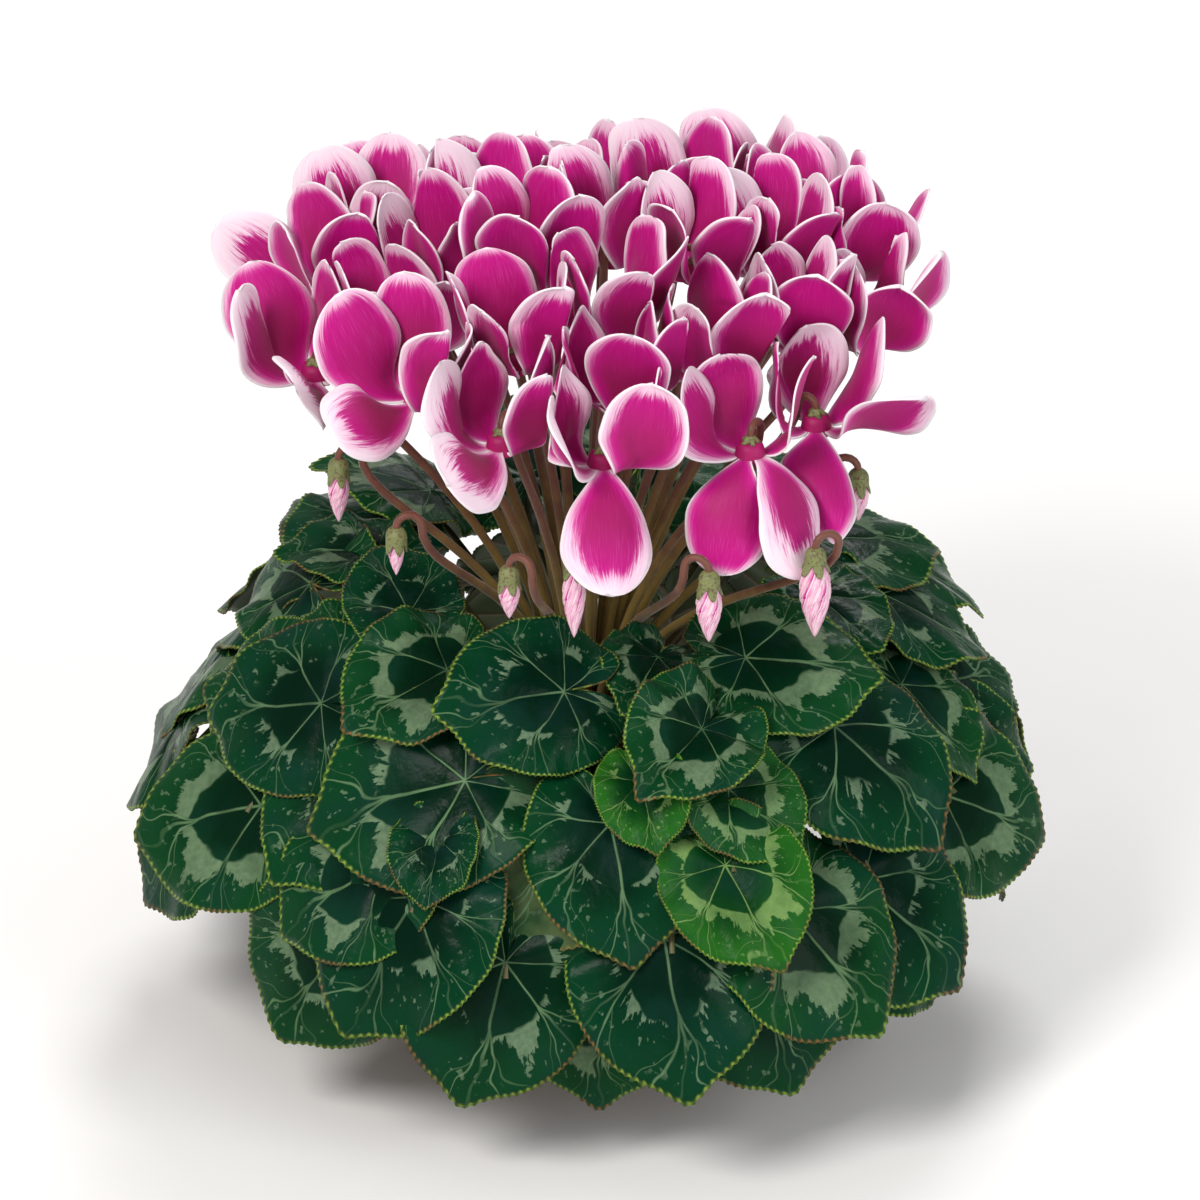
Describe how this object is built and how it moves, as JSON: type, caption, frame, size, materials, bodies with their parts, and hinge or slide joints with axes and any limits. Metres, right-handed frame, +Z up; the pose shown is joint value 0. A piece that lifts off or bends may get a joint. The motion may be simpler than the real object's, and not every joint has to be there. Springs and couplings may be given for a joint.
{
  "type": "potted florist's cyclamen (cyclamen persicum)",
  "caption": "Flowering cyclamen in a nursery pot: a mound of heart-shaped leaves round the pot and a dense crown of upswept petals on hooked stalks.",
  "frame": {"origin": "centre of the pot's flat underside, where the pot rests", "axes": "+Z up along the pot's axis; the pictured side faces -Y, with +X to its right"},
  "size_m": [0.3593, 0.3555, 0.358],
  "materials": {
    "pot": "matt terracotta-coloured plastic",
    "soil": "crumbly dark potting soil",
    "tuber": "corky brown skin",
    "leaf": "glossy dark green with silver blotches and pale veins",
    "stalk": "satin, olive low down and red-brown above",
    "petal": "soft magenta with a feathered white edge",
    "bud": "soft pale pink streaked with magenta"
  },
  "bodies": {
    "root": {"bloom_01": "petal", "bloom_02": "petal", "bloom_03": "petal", "bloom_04": "petal", "bloom_05": "petal", "bloom_06": "petal", "bloom_07": "petal", "bloom_08": "petal", "bloom_09": "petal", "bloom_10": "petal", "bloom_11": "petal", "bloom_12": "petal", "bloom_13": "petal", "bloom_14": "petal", "bloom_15": "petal", "bloom_16": "petal", "bloom_17": "petal", "bloom_18": "petal", "bloom_19": "petal", "bloom_20": "petal", "bloom_21": "petal", "bloom_22": "petal", "bloom_23": "petal", "bloom_24": "petal", "bloom_25": "petal", "bloom_26": "petal", "bloom_27": "petal", "bloom_28": "petal", "bloom_29": "petal", "bud_1": "bud", "bud_2": "bud", "bud_3": "bud", "bud_4": "bud", "bud_5": "bud", "bud_6": "bud", "bud_7": "bud", "flower_stalks": "stalk", "leaves": "leaf", "pot": "pot", "soil": "soil", "tuber": "tuber"}
  },
  "joints": []
}
